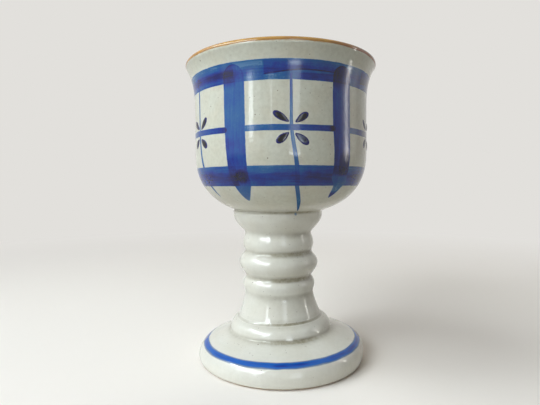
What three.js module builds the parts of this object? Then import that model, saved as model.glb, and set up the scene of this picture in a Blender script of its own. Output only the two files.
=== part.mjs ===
import * as THREE from 'three';

// A hand-thrown stoneware goblet: a bowl, a hollow stem and a foot, each turned on the wheel,
// luted together with slip, with a honey-coloured glaze over the lip.
// Millimetres, +Z up. The wheel axis is Z and the goblet stands on the plane Z = 0.
// Every part is one closed outline of [radius, height] points turned round the wheel axis.

// Facets round the wheel axis, the same on every part so that luted faces meet exactly
const facets = 48;

// Foot: a disc with a fat rolled edge, a sloped top and a moulded ring that carries the stem
const restInnerRadius = 36.2;
const restWidth = 4.6;
const footRadius = 42.7;
const footWidestHeight = 3.1;
const footEdgeReach = 7.4;
const footEdgeRise = 7.6;
const footTopSlope = 0.387;
const footWall = 6.0;
const recessCorner = 4.2;
const ringReach = 4.5;
const ringInset = 2.7;
const ringRise = 6.7;
const ringUndercut = 0.15;
const ringWall = 7.6;
const ringRoof = 3.6;

// Slip rings that lute the three clay parts together, wiped back from the outer surface
const slipThickness = 0.6;
const slipSetBack = 0.35;
const slipHollow = 0.3;

// Stem, from its lower edge up: the height of each run and the radius where it ends
const skirtBaseRadius = 21.4;
const skirtHeight = 11.8;
const skirtCurve = 1.5;
const skirtGrooveRadius = 17.75;
const lowBeadRise = 4.9;
const lowBeadRadius = 18.65;
const lowBeadFall = 3.4;
const lowGrooveRadius = 16.9;
const middleBeadRise = 7.2;
const middleBeadRadius = 20.3;
const middleBeadFall = 5.7;
const middleGrooveRadius = 17.15;
const topBeadRise = 4.1;
const topBeadRadius = 18.25;
const topBeadFall = 5.3;
const topGrooveRadius = 17.0;
const collarRise = 9.6;
const collarRadius = 22.9;
const collarEdgeHeight = 1.7;
const collarEdgeRadius = 22.6;
const beadFullness = 1.5;

// Hollow through the stem, wider at both mouths
const boreRadius = 11.5;
const footMouthRadius = 15.2;
const footMouthHeight = 14;
const bowlMouthRadius = 15.5;
const bowlMouthHeight = 13;

// Bowl: trimmed flat seat, round belly, nearly straight wall and a flared, rounded lip
const bowlSeatOverhang = 0.4;
const bellyRadius = 43.6;
const bellyDepth = 33.0;
const bellyCurve = 2.5;
const innerBellyCurve = 2.9;
const bowlWall = 4.2;
const bowlFloor = 5.6;
const wallHeight = 19.7;
const flareHeight = 20.0;
const flareReach = 3.7;
const flareCurve = 3.1;
const lipThickness = 3.1;

// Honey glaze over the lip, thickest on top and running out to nothing at both edges
const lipGlazeThickness = 0.35;

// Fired looks of each material
const creamGlaze = { color: 0xc4c3b3, roughness: 0.22, metalness: 0 };
const slipGlaze = { color: 0x8d8468, roughness: 0.35, metalness: 0 };
const honeyGlaze = { color: 0xb8812f, roughness: 0.18, metalness: 0 };

// Points of one run of an outline: steps pieces, from its start at 0 to its end at 1
function run(steps, pointAt) {
  return Array.from({ length: steps + 1 }, (_, step) => pointAt(step / steps));
}

// An arc of an ellipse or superellipse, by angle from its outermost point towards its top
function arc(steps, centre, reach, rise, startAngle, endAngle, curve = 2) {
  const squared = (value) => Math.sign(value) * Math.abs(value) ** (2 / curve);
  return run(steps, (t) => {
    const angle = startAngle + (endAngle - startAngle) * t;
    return [centre[0] + reach * squared(Math.cos(angle)), centre[1] + rise * squared(Math.sin(angle))];
  });
}

// A smooth bend from start to end whose sides lean towards the corner point
function bend(steps, start, corner, end) {
  const [a, b, c] = [start, corner, end].map((point) => new THREE.Vector2(...point));
  return new THREE.QuadraticBezierCurve(a, b, c).getPoints(steps).map((point) => [point.x, point.y]);
}

// One flank of a turned bead, from the groove beside it to its crest
function beadFlank(steps, grooveRadius, grooveHeight, crestRadius, crestHeight) {
  return run(steps, (t) => {
    const swell = (1 - (1 - t) ** 2) ** beadFullness;
    const radius = grooveRadius + (crestRadius - grooveRadius) * swell;
    return [radius, grooveHeight + (crestHeight - grooveHeight) * t];
  });
}

// Turns a closed outline round the wheel axis into one named solid
function turned(name, outline, finish) {
  const points = outline.map(([radius, height]) => new THREE.Vector2(radius, height));
  const geometry = new THREE.LatheGeometry(points, facets).rotateX(Math.PI / 2);
  const mesh = new THREE.Mesh(geometry, new THREE.MeshStandardMaterial(finish));
  mesh.name = name;
  return mesh;
}

// An outline that doesn't reach the axis closes on its own first point
function closed(outline) {
  return [...outline, outline[0]];
}

// Foot, from the bare resting ring up to the seat on its moulded ring
function footPart() {
  const seatRadius = skirtBaseRadius + slipSetBack;
  const edgeCentre = [footRadius - footEdgeReach, footWidestHeight];
  const restOuterRadius = restInnerRadius + restWidth;
  const shoulderAngle = Math.PI / 2 - Math.atan((footTopSlope * footEdgeReach) / footEdgeRise);
  const shoulder = arc(8, edgeCentre, footEdgeReach, footEdgeRise, 0, shoulderAngle);
  const [topRadius, topHeight] = shoulder[shoulder.length - 1];
  const topAt = (radius) => topHeight + footTopSlope * (topRadius - radius);
  const undersideAt = (radius) => topAt(radius) - footWall;

  // The moulded ring is an ellipse that rises out of the sloped top
  const reach = ringReach + ringInset;
  const ringCentre = [seatRadius - ringInset, topAt(seatRadius + ringReach) + ringUndercut];
  const creaseReach = Math.hypot(ringRise, footTopSlope * reach);
  const creaseRise = topAt(ringCentre[0]) - ringCentre[1];
  const creaseAngle = Math.asin(creaseRise / creaseReach) - Math.atan2(footTopSlope * reach, ringRise);
  const ring = arc(8, ringCentre, reach, ringRise, creaseAngle, Math.acos(ringInset / reach));
  const seatHeight = ring[ring.length - 1][1];

  // The recess underneath follows the top at the foot's wall and narrows into the stem's hollow
  const hollowRadius = seatRadius + ringReach - ringWall;
  const roofHeight = seatHeight - ringRoof;
  const throatHeight = (undersideAt(hollowRadius) + roofHeight) / 2;
  const throatEdge = hollowRadius + recessCorner;
  const outline = [
    [restInnerRadius, 0],
    ...bend(3, [restOuterRadius, 0], [footRadius, 0], [footRadius, footWidestHeight]),
    ...shoulder.slice(1),
    ...ring,
    [footMouthRadius, seatHeight],
    ...bend(3, [footMouthRadius, roofHeight], [hollowRadius, roofHeight], [hollowRadius, throatHeight]),
    [throatEdge, undersideAt(throatEdge)],
    ...bend(
      4,
      [restInnerRadius - recessCorner, undersideAt(restInnerRadius - recessCorner)],
      [restInnerRadius, undersideAt(restInnerRadius)],
      [restInnerRadius, undersideAt(restInnerRadius) - recessCorner],
    ),
  ];
  return { mesh: turned('foot', closed(outline), creamGlaze), seatHeight, seatRadius };
}

// Stem, from its lower edge at the given height: skirt, three beads and the collar under the bowl
function stemPart(lowerEdge) {
  const runs = [
    [lowBeadRise, skirtGrooveRadius, lowBeadRadius],
    [lowBeadFall, lowGrooveRadius, lowBeadRadius],
    [middleBeadRise, lowGrooveRadius, middleBeadRadius],
    [middleBeadFall, middleGrooveRadius, middleBeadRadius],
    [topBeadRise, middleGrooveRadius, topBeadRadius],
    [topBeadFall, topGrooveRadius, topBeadRadius],
    [collarRise, topGrooveRadius, collarRadius],
  ];
  const outer = run(5, (t) => {
    const swell = (skirtBaseRadius - skirtGrooveRadius) * (1 - t) ** skirtCurve;
    return [skirtGrooveRadius + swell, lowerEdge + skirtHeight * t];
  });
  let height = lowerEdge + skirtHeight;
  runs.forEach(([length, grooveRadius, crestRadius], index) => {
    const rising = index % 2 === 0;
    const [groove, crest] = rising ? [height, height + length] : [height + length, height];
    const flank = beadFlank(4, grooveRadius, groove, crestRadius, crest);
    outer.push(...(rising ? flank : flank.reverse()).slice(1));
    height += length;
  });
  const upperEdge = height + collarEdgeHeight;
  const mouth = (edge, radius, towards) => run(3, (t) => {
    return [boreRadius + (radius - boreRadius) * t * t, edge + towards * (1 - t)];
  });
  const outline = [
    ...outer,
    [collarEdgeRadius, upperEdge],
    ...mouth(upperEdge, bowlMouthRadius, -bowlMouthHeight).reverse(),
    ...mouth(lowerEdge, footMouthRadius, footMouthHeight),
  ];
  return { mesh: turned('stem', closed(outline), creamGlaze), upperEdge };
}

// A luting ring between two flat faces, with its outer side wiped hollow
function slipRing(name, innerRadius, lowerRadius, upperRadius, lowerHeight) {
  const upperHeight = lowerHeight + slipThickness;
  const middleRadius = (lowerRadius + upperRadius) / 2 - slipHollow;
  const outline = [
    [innerRadius, lowerHeight],
    [lowerRadius, lowerHeight],
    [middleRadius, (lowerHeight + upperHeight) / 2],
    [upperRadius, upperHeight],
    [innerRadius, upperHeight],
  ];
  return { mesh: turned(name, closed(outline), slipGlaze), upperHeight };
}

// Bowl on its seat, and the honey glaze that covers its lip
function bowlParts(seatRadius, seatHeight) {
  const toSeat = Math.asin((seatRadius / bellyRadius) ** (bellyCurve / 2));
  const centreDepth = bellyDepth * Math.cos(toSeat) ** (2 / bellyCurve);
  const centre = [0, seatHeight + centreDepth];
  const belly = arc(11, centre, bellyRadius, bellyDepth, toSeat - Math.PI / 2, 0, bellyCurve);

  // The lip is a half circle that carries on the lean of the flared wall on both sides
  const flareStart = centre[1] + wallHeight;
  const flareEnd = flareStart + flareHeight;
  const lean = Math.atan((flareReach * flareCurve) / flareHeight);
  const lipRadius = lipThickness / 2;
  const lipCentre = [
    bellyRadius + flareReach - lipRadius * Math.cos(lean),
    flareEnd + lipRadius * Math.sin(lean),
  ];
  const lip = arc(6, lipCentre, lipRadius, lipRadius, -lean, Math.PI - lean);
  const flare = (startRadius, [endRadius, endHeight], curve) => run(5, (t) => {
    const height = flareStart + (endHeight - flareStart) * t;
    return [startRadius + (endRadius - startRadius) * t ** curve, height];
  });
  const innerRadius = bellyRadius - bowlWall;
  const innerEdge = lip[lip.length - 1];
  const innerCurve = (Math.tan(lean) * (innerEdge[1] - flareStart)) / (innerEdge[0] - innerRadius);
  const innerDepth = centreDepth - bowlFloor;
  const outline = [
    [0, seatHeight],
    ...belly,
    ...flare(bellyRadius, lip[0], flareCurve),
    ...lip.slice(1, -1),
    ...flare(innerRadius, innerEdge, innerCurve).reverse(),
    ...arc(9, centre, innerRadius, innerDepth, 0, -Math.PI / 2, innerBellyCurve),
  ];

  // The glaze swells out from the lip's own points, so it lies on the clay face to face
  const skin = lip.map(([radius, height], index) => {
    const swell = lipGlazeThickness * Math.sin((Math.PI * index) / (lip.length - 1)) / lipRadius;
    return [radius + (radius - lipCentre[0]) * swell, height + (height - lipCentre[1]) * swell];
  });
  const coat = [...lip, ...skin.slice(1, -1).reverse()].reverse();
  return [turned('bowl', outline, creamGlaze), turned('lip_glaze', closed(coat), honeyGlaze)];
}

const foot = footPart();
const footSlip = slipRing(
  'foot_joint_slip',
  footMouthRadius,
  foot.seatRadius - slipSetBack,
  skirtBaseRadius - slipSetBack,
  foot.seatHeight,
);
const stem = stemPart(footSlip.upperHeight);
const bowlSeatRadius = collarEdgeRadius + bowlSeatOverhang;
const bowlSlip = slipRing(
  'bowl_joint_slip',
  bowlMouthRadius,
  collarEdgeRadius - slipSetBack,
  bowlSeatRadius - slipSetBack,
  stem.upperEdge,
);

const goblet = new THREE.Group();
goblet.name = 'goblet';
goblet.add(foot.mesh, footSlip.mesh, stem.mesh, bowlSlip.mesh);
goblet.add(...bowlParts(bowlSeatRadius, bowlSlip.upperHeight));

export default goblet;
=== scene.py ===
"""Glazed and painted surfaces of a hand-thrown stoneware goblet, built round its fixed frame."""

import math

import bpy
import numpy as np
from bpy.props import FloatProperty, FloatVectorProperty, IntProperty, PointerProperty
from mathutils import Matrix, Vector


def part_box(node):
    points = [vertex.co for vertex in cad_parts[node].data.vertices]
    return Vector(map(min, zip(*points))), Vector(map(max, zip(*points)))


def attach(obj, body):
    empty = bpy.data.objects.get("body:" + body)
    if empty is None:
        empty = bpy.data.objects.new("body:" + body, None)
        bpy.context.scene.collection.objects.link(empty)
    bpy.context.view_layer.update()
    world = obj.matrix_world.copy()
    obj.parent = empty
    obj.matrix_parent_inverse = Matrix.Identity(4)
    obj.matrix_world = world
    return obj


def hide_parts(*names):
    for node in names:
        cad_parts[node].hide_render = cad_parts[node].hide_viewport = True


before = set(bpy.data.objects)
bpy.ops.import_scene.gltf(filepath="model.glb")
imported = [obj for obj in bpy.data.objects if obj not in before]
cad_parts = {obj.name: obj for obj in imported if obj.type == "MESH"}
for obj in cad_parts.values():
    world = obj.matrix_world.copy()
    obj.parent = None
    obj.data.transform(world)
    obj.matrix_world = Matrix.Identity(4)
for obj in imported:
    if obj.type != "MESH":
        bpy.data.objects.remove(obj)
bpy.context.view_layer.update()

bl_info = {
    "name": "Stoneware Goblet",
    "version": (1, 0, 0),
    "blender": (4, 5, 0),
    "location": "3D View > Sidebar > Goblet",
    "description": "Builds the glaze, the brushwork and the studio of a thrown stoneware goblet",
    "category": "Add Mesh",
}

MM = 0.001
PHOTO_WIDTH = 540
CAMERA_SENSOR = 36.0

# Heights where the thrown parts meet, from the frame
FOOT_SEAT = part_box("foot")[1][2]
STEM_LOW, STEM_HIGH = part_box("stem")[0][2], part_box("stem")[1][2]
BOWL_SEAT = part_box("bowl")[0][2]

# Spacing of the points on the softened outlines of stem and foot, and how deep a full pool is
OUTLINE_STEP = 0.4 * MM
POOL_DEPTH = 0.55 * MM

# Angle between two faces from which their edge is shaded sharp, and half the floor's side
SHARP_ANGLE = math.radians(55)
FLOOR_HALF = 4.0

# The parts were centred and luted by hand: sideways drift of the axis by height
DRIFT_HEIGHTS = np.array([0, 3, 9, 13, 20, 33, 50, 65, 75.3, 76.1, 81, 148]) * MM
DRIFTS = np.array([0.5, 0.8, 1.2, 1.0, 0.3, -0.1, -0.3, -0.45, -0.6, 0.55, 0.9, 0.98]) * MM

# Lean of the foot's top by height, as rise over run, and the direction in which it rises
LEAN_HEIGHTS = np.array([0, 7, 22, 38]) * MM
LEANS = [0, 0.031, 0.027, 0]
LEAN_AZIMUTH = math.radians(63)


def linear(red, green, blue):
    """A colour given as 0 to 255 display values, as the linear values that shaders use."""
    shares = [value / 255 for value in (red, green, blue)]
    return tuple(s / 12.92 if s <= 0.04045 else ((s + 0.055) / 1.055) ** 2.4 for s in shares)


def number(name, description, default):
    """A property that holds a plain number."""
    return FloatProperty(name=name, description=description, default=default)


def length(name, description, default):
    """A length property with its default in millimetres."""
    return FloatProperty(name=name, description=description, default=default * MM, unit="LENGTH")


def lengths(name, description, default):
    """A row of lengths with their defaults in millimetres."""
    values = [value * MM for value in default]
    return FloatVectorProperty(
        name=name, description=description, default=values, size=len(values), unit="LENGTH"
    )


def angles(name, description, default):
    """A row of angles with their defaults in degrees."""
    values = [math.radians(value) for value in default]
    return FloatVectorProperty(
        name=name, description=description, default=values, size=len(values), unit="ROTATION"
    )


def colour(name, description, default):
    """A colour property with its default as 0 to 255 display values."""
    return FloatVectorProperty(
        name=name,
        description=description,
        default=linear(*default),
        size=3,
        min=0.0,
        max=1.0,
        subtype="COLOR",
    )


class ThrownSizes(bpy.types.PropertyGroup):
    """Sizes of the thrown parts. Heights run upwards, radii from the wheel axis."""

    columns: IntProperty(name="Columns", description="Mesh columns round the axis", default=288)
    belly_radius: length("Belly radius", "Outer radius of the bowl's wall", 43.6)
    belly_depth: length("Belly depth", "Depth of the bowl's round bottom", 33.0)
    belly_power: number("Belly power", "Squareness of the belly", 2.5)
    inner_power: number("Inner power", "Squareness inside", 2.9)
    seat_radius: length("Seat radius", "Radius of the bowl's trimmed seat", 23.0)
    wall: length("Wall", "Wall of the bowl", 4.2)
    floor: length("Floor", "Floor of the bowl over its seat", 5.6)
    wall_height: length("Wall height", "Height of the upright wall", 19.7)
    flare_height: length("Flare height", "Height of the flared wall", 20.0)
    flare_reach: length("Flare reach", "Reach of the flare at the lip", 3.7)
    flare_power: number("Flare power", "How late the flare opens", 3.1)
    lip_thickness: length("Lip thickness", "Thickness of the rounded lip", 3.1)
    skirt_radius: length("Skirt radius", "Radius of the stem's lower edge", 21.4)
    skirt_height: length("Skirt height", "Height of the stem's skirt", 11.8)
    skirt_power: number("Skirt power", "Flare of the skirt", 1.5)
    groove_radii: lengths("Grooves", "Groove radii from below", (17.75, 16.9, 17.15, 17.0))
    crest_radii: lengths("Crests", "Crest radii, the collar last", (18.65, 20.3, 18.25, 22.9))
    crest_rises: lengths("Rises", "Heights from groove to crest", (4.9, 7.2, 4.1, 9.6))
    crest_falls: lengths("Falls", "Heights from crest to groove", (3.4, 5.7, 5.3))
    bead_power: number("Bead power", "Fullness of the beads", 1.5)
    collar_edge: length("Collar edge", "Radius of the stem's upper edge", 22.6)
    bore: length("Bore", "Radius of the stem's hollow", 11.5)
    mouths: lengths("Mouths", "Radii of the hollow below and above", (15.2, 15.5))
    mouth_heights: lengths("Mouth heights", "Heights of both widened mouths", (14.0, 13.0))
    rest_radii: lengths("Resting ring", "Inner and outer radius of the ring", (36.2, 40.8))
    foot_radius: length("Foot radius", "Radius of the foot where it is widest", 42.7)
    foot_widest: length("Foot widest", "Height where the foot is widest", 3.1)
    edge_reach: length("Edge reach", "Reach of the rolled edge", 7.4)
    edge_rise: length("Edge rise", "Rise of the rolled edge", 7.6)
    foot_slope: number("Foot slope", "Fall of the foot's top", 0.387)
    foot_wall: length("Foot wall", "Thickness of the foot", 6.0)
    recess_corner: length("Recess corner", "Rounding inside the recess", 4.2)
    ring_reach: length("Ring reach", "Reach of the moulded ring past its seat", 4.5)
    ring_inset: length("Ring inset", "Inset of the ring's section", 2.7)
    ring_rise: length("Ring rise", "Rise of the moulded ring", 6.7)
    ring_undercut: length("Ring undercut", "Height of its widest point over the foot", 0.15)
    seat_ledge: length("Seat ledge", "Ledge of the foot's seat past the stem", 0.35)
    hollow_radius: length("Hollow radius", "Radius of the hollow under the ring", 18.65)
    hollow_roof: length("Hollow roof", "Clay between the hollow and the seat", 3.6)
    honey_thickness: length("Honey coat", "Thickness of the honey glaze on the lip", 0.5)
    softness: length("Softness", "How far the glaze rounds the grooves", 0.55)


class BrushSizes(bpy.types.PropertyGroup):
    """Places and sizes of the brushwork, as measured round the bowl."""

    band_azimuths: angles(
        "Bands", "Directions of the wide strokes", (-93.0, -27.0, 37.8, 103.0, 157.5, 212.0)
    )
    flower_azimuths: angles(
        "Flowers", "Directions of the flowers", (-60.3, 5.3, 71.0, 130.2, 184.8, 239.5)
    )
    band_tips: lengths(
        "Band tips", "Heights where the wide strokes end", (82.6, 81.4, 82.6, 83.5, 81.8, 83.0)
    )
    line_tips: lengths(
        "Line tips", "Heights where the thin lines end", (83.0, 76.3, 80.5, 82.0, 79.0, 84.0)
    )
    top_band: lengths("Top band", "Lower and upper edge of the top band", (132.0, 140.2))
    low_band: lengths("Low band", "Lower and upper edge of the low band", (88.1, 96.7))
    band_half_width: length("Wide stroke", "Half the width of the wide strokes", 5.2)
    line_half_width: length("Thin stroke", "Half the width of the thin lines", 0.55)
    middle_height: length("Middle line", "Height of the line through the flowers", 112.4)
    middle_half_width: length("Middle width", "Half the width of that line", 1.25)
    foot_line: lengths("Foot line", "Radii of the blue line on the foot", (37.8, 40.7))
    petal_lift: length("Petal lift", "How far the petals stand out of the glaze", 0.28)


class GlazeColours(bpy.types.PropertyGroup):
    """Colours of clay, glaze and painting."""

    cream: colour("Cream", "Glaze over the clay", (202, 202, 187))
    warm: colour("Warm cream", "Warmer clouds in the glaze", (198, 192, 172))
    pale: colour("Pale cream", "Cooler glaze of the stem and foot", (217, 215, 204))
    olive: colour("Olive", "Glaze where it pools", (122, 114, 86))
    iron: colour("Iron", "Specks of iron", (96, 72, 50))
    clay: colour("Clay", "Bare fired clay", (176, 150, 118))
    honey: colour("Honey", "Honey glaze of the lip", (184, 136, 50))
    amber: colour("Amber", "Honey glaze where it is thick", (140, 66, 10))
    foot_blue: colour("Foot blue", "Bright blue of the line on the foot", (0, 90, 180))
    # Worn petal also serves as a painted reflection on the front flower's lower right petal
    worn: colour("Worn petal", "Greyish blue where a petal is thin", (92, 102, 128))
    petal: colour("Petal", "Thick dark blue of the petals", (4, 2, 12))
    petal_rim: colour("Petal rim", "Thinner rim of the petals", (14, 16, 92))
    wash: colour("Wash", "Thinnest blue wash", (112, 152, 184))
    steel: colour("Steel blue", "Thin blue", (24, 88, 140))
    azure: colour("Azure", "Blue of one stroke", (0, 72, 140))
    cobalt: colour("Cobalt", "Full blue", (0, 42, 132))
    navy: colour("Navy", "Blue of two coats", (0, 12, 90))
    night: colour("Night", "Blue where it pools", (4, 0, 22))
    violet: colour("Violet", "Violet clouds in the thick blue", (58, 26, 84))


class StudioSizes(bpy.types.PropertyGroup):
    """Camera and lights of the plain studio."""

    camera_distance: length("Distance", "Camera's distance from the wheel axis", 216.6)
    camera_height: length("Height", "Camera's height over the floor", 88.5)
    camera_turn: angles("Turn", "Camera's pitch, turn and roll", (-2.42, 1.22, -0.28))
    camera_focus: number("Focus", "Focal length in pixels", 415.0)
    floor_colour: colour("Floor", "Floor near the object", (243, 237, 229))
    backdrop_colour: colour("Backdrop", "Even background", (226, 224, 220))
    bounce_colour: colour("Bounce", "Floor as it lights the object from below", (168, 163, 154))
    key: number("Key", "Brightness of the left windows", 1.0)
    fill: number("Fill", "Brightness of the small lights", 1.0)
    sky: number("Sky", "Strength of the even light", 0.06)


class Shade:
    """A shader socket. Python's operators on it add Math nodes to its tree."""

    def __init__(self, tree, socket=None):
        self.tree = tree
        self.socket = socket

    def node(self, kind, settings=None, values=None, output=0):
        """Adds a node, sets its settings, then its sockets' values or links, and wraps an output."""
        node = self.tree.nodes.new("ShaderNode" + kind)
        for name, setting in (settings or {}).items():
            if name == "stops":
                self._set_stops(node.color_ramp, setting)
            else:
                setattr(node, name, setting)
        for name, value in (values or {}).items():
            if isinstance(value, Shade):
                self.tree.links.new(value.socket, node.inputs[name])
            else:
                node.inputs[name].default_value = value
        return Shade(self.tree, node.outputs[output] if node.outputs else None)

    @staticmethod
    def _set_stops(ramp, stops):
        while len(ramp.elements) < len(stops):
            ramp.elements.new(1.0)
        for element, (place, shade) in zip(ramp.elements, stops):
            element.position = place
            element.color = (*shade, 1.0)

    def math(self, operation, *others, clamp=False):
        values = dict(enumerate((self, *others)))
        settings = {"operation": operation, "use_clamp": clamp}
        return self.node("Math", settings, values)

    def __add__(self, other):
        return self.math("ADD", other)

    __radd__ = __add__

    def __sub__(self, other):
        return self.math("SUBTRACT", other)

    def __rsub__(self, other):
        return self.math("MULTIPLY_ADD", -1.0, other)

    def __mul__(self, other):
        return self.math("MULTIPLY", other)

    __rmul__ = __mul__

    def __truediv__(self, other):
        return self.math("DIVIDE", other)

    def __pow__(self, other):
        return self.math("POWER", other)

    def __abs__(self):
        return self.math("ABSOLUTE")

    def clamp(self):
        return self.math("ADD", 0.0, clamp=True)

    def least(self, other):
        return self.math("MINIMUM", other)

    def most(self, other):
        return self.math("MAXIMUM", other)

    def rise(self, start, end):
        """0 below start and 1 above end, smooth between them. Falls where end is below start."""
        values = {"Value": self, "From Min": start, "From Max": end}
        return self.node("MapRange", {"interpolation_type": "SMOOTHSTEP"}, values)

    def part(self, axis):
        """The X, Y or Z part of a vector."""
        return self.node("SeparateXYZ", {}, {"Vector": self}, "XYZ".index(axis))

    def stretched(self, x, y, z):
        """A vector with each part scaled by its own number."""
        return self.node("VectorMath", {"operation": "MULTIPLY"}, {0: self, 1: (x, y, z)})

    def noise(self, grain, detail=2.0, rough=0.5):
        """Noise from 0 to 1 whose features are about grain long, in this vector's unit."""
        values = {"Vector": self, "Scale": 1 / grain, "Detail": detail, "Roughness": rough}
        return self.node("TexNoise", {}, values)

    def waver(self, grain, detail=2.0, rough=0.5):
        """The same noise from -0.5 to 0.5."""
        return self.noise(grain, detail, rough) - 0.5

    def cells(self, grain, output):
        """One output of a Voronoi pattern whose cells are about grain wide."""
        return self.node("TexVoronoi", {}, {"Vector": self, "Scale": 1 / grain}, output)

    def mix(self, first, second):
        """The colour first where this factor is 0, and second where it is 1."""
        values = {0: self, 6: as_colour(first), 7: as_colour(second)}
        return self.node("Mix", {"data_type": "RGBA"}, values, 2)


def as_colour(value):
    """A linked colour as it is, or three numbers with a full alpha."""
    return value if isinstance(value, Shade) else (*value, 1.0)


def oval_run(count, centre, reach, rise, start, end, power=2.0):
    """Arc of a superellipse by angle: reach and rise times the signed 2/power power of cos and sin."""
    angle = np.linspace(start, end, count + 1)[:, None]
    circle = np.concatenate([np.cos(angle), np.sin(angle)], axis=1)
    return np.array(centre) + np.sign(circle) * np.abs(circle) ** (2 / power) * (reach, rise)


def corner_run(count, start, corner, end):
    """Quadratic curve from start to end whose sides lean towards the corner point."""
    t = np.linspace(0, 1, count + 1)[:, None]
    start, corner, end = (np.array(point) for point in (start, corner, end))
    return (1 - t) ** 2 * start + 2 * t * (1 - t) * corner + t**2 * end


def straight_run(count, start, end):
    """Evenly spaced points on the line from start to end."""
    return np.linspace(start, end, count + 1)


def power_run(count, start, end, power):
    """Height grows evenly from start to end, and radius by that share raised to power."""
    t = np.linspace(0, 1, count + 1)
    radius = start[0] + (end[0] - start[0]) * t**power
    height = start[1] + (end[1] - start[1]) * t
    return np.stack([radius, height], axis=1)


def joined(*runs):
    """Runs of points one after the other, without the points that repeat."""
    points = np.concatenate(runs)
    steps = np.linalg.norm(np.diff(points, axis=0), axis=1)
    return points[np.concatenate([[True], steps > 1e-7])]


def points_along(points, places):
    """Points of an outline at the given distances along it, or evenly spaced for None."""
    steps = np.linalg.norm(np.diff(points, axis=0), axis=1)
    along = np.concatenate([[0], np.cumsum(steps)])
    if places is None:
        places = np.linspace(0, along[-1], round(along[-1] / OUTLINE_STEP) + 1)
    return np.stack([np.interp(places, along, points[:, axis]) for axis in (0, 1)], axis=1)


def averaged(points, reach):
    """Each point of an evenly spaced outline becomes the bell-weighted mean of those within reach.

    Both ends carry on past themselves by point reflection, so they keep their places.
    """
    half = round(3 * reach / OUTLINE_STEP)
    weights = np.exp(-0.5 * (np.arange(-half, half + 1) * OUTLINE_STEP / reach) ** 2)
    weights /= weights.sum()
    before = 2 * points[0] - points[half:0:-1]
    after = 2 * points[-1] - points[-2 : -half - 2 : -1]
    padded = np.concatenate([before, points, after])
    return np.stack([np.convolve(padded[:, axis], weights, "valid") for axis in (0, 1)], axis=1)


def hollowness(points, reach):
    """0 to 1: how far the averaged outline stands out of the clay at each point."""
    along = np.gradient(points, axis=0)
    outward = np.stack([along[:, 1], -along[:, 0]], axis=1)
    outward /= np.linalg.norm(outward, axis=1, keepdims=True) + 1e-12
    stand = ((averaged(points, reach) - points) * outward).sum(axis=1)
    return np.clip(stand / POOL_DEPTH, 0, 1)


def thrown_place(azimuth, radius, height):
    """Point at an azimuth, radius and height of the thrown pot, in metres.

    The radius swells by two slow waves round the axis. The axis drifts sideways, and the height
    grows by the lean times the distance towards LEAN_AZIMUTH. Azimuth 0 faces the camera.
    """
    swell = 0.10 * MM * np.sin(2 * azimuth + 1.1 + height / (18 * MM))
    swell = swell + 0.05 * MM * np.sin(3 * azimuth - height / (11 * MM))
    radius = radius + swell * np.clip(radius / (10 * MM), 0, 1)
    x = np.interp(height, DRIFT_HEIGHTS, DRIFTS) + radius * np.sin(azimuth)
    y = -radius * np.cos(azimuth)
    lean = np.interp(height, LEAN_HEIGHTS, LEANS)
    z = height + lean * radius * np.cos(azimuth - LEAN_AZIMUTH)
    return np.stack(np.broadcast_arrays(x, y, z), axis=-1)


def new_object(name, data):
    """Makes an object for a mesh, lamp or camera, and puts it into the scene."""
    made = bpy.data.objects.new(name, data)
    bpy.context.scene.collection.objects.link(made)
    return made


def new_piece(name, points, faces, material, nodes, uv_maps, attributes):
    """Makes a mesh object with smooth shading that rides on the frame and stands for nodes.

    uv_maps and attributes map a name to its values, by face corner and by point.
    """
    mesh = bpy.data.meshes.new(name)
    mesh.from_pydata(points.reshape(-1, 3).tolist(), [], faces)
    for uv_name, values in uv_maps.items():
        layer = mesh.uv_layers.new(name=uv_name)
        layer.data.foreach_set("uv", values.ravel().astype(np.float32))
    for attribute_name, values in attributes.items():
        attribute = mesh.attributes.new(attribute_name, "FLOAT", "POINT")
        attribute.data.foreach_set("value", values.ravel().astype(np.float32))
    mesh.shade_smooth()
    mesh.set_sharp_from_angle(angle=SHARP_ANGLE)
    mesh.materials.append(material)
    mesh.validate()
    piece = new_object(name, mesh)
    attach(piece, "root")
    if nodes:
        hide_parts(*nodes)


def closed_faces(rings, columns, capped):
    """Faces of a closed surface whose points lie in rings of as many points as columns.

    Where it is capped, two poles come after the rings, and a fan of triangles joins them to the
    first and last ring. Otherwise the last ring joins the first. Returns the rows and columns of
    the quads' corners, and the faces.
    """
    row, column = np.meshgrid(np.arange(rings - capped), np.arange(columns), indexing="ij")
    above, beside = (row + 1) % rings, (column + 1) % columns
    corners = [(row, column), (row, beside), (above, beside), (above, column)]
    faces = np.stack([r * columns + c for r, c in corners], axis=-1).reshape(-1, 4).tolist()
    if capped:
        first, pole = np.arange(columns), np.full(columns, rings * columns)
        after, last = (first + 1) % columns, (rings - 1) * columns
        faces += np.stack([after, first, pole], axis=1).tolist()
        faces += np.stack([last + first, last + after, pole + 1], axis=1).tolist()
    return corners, faces


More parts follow.
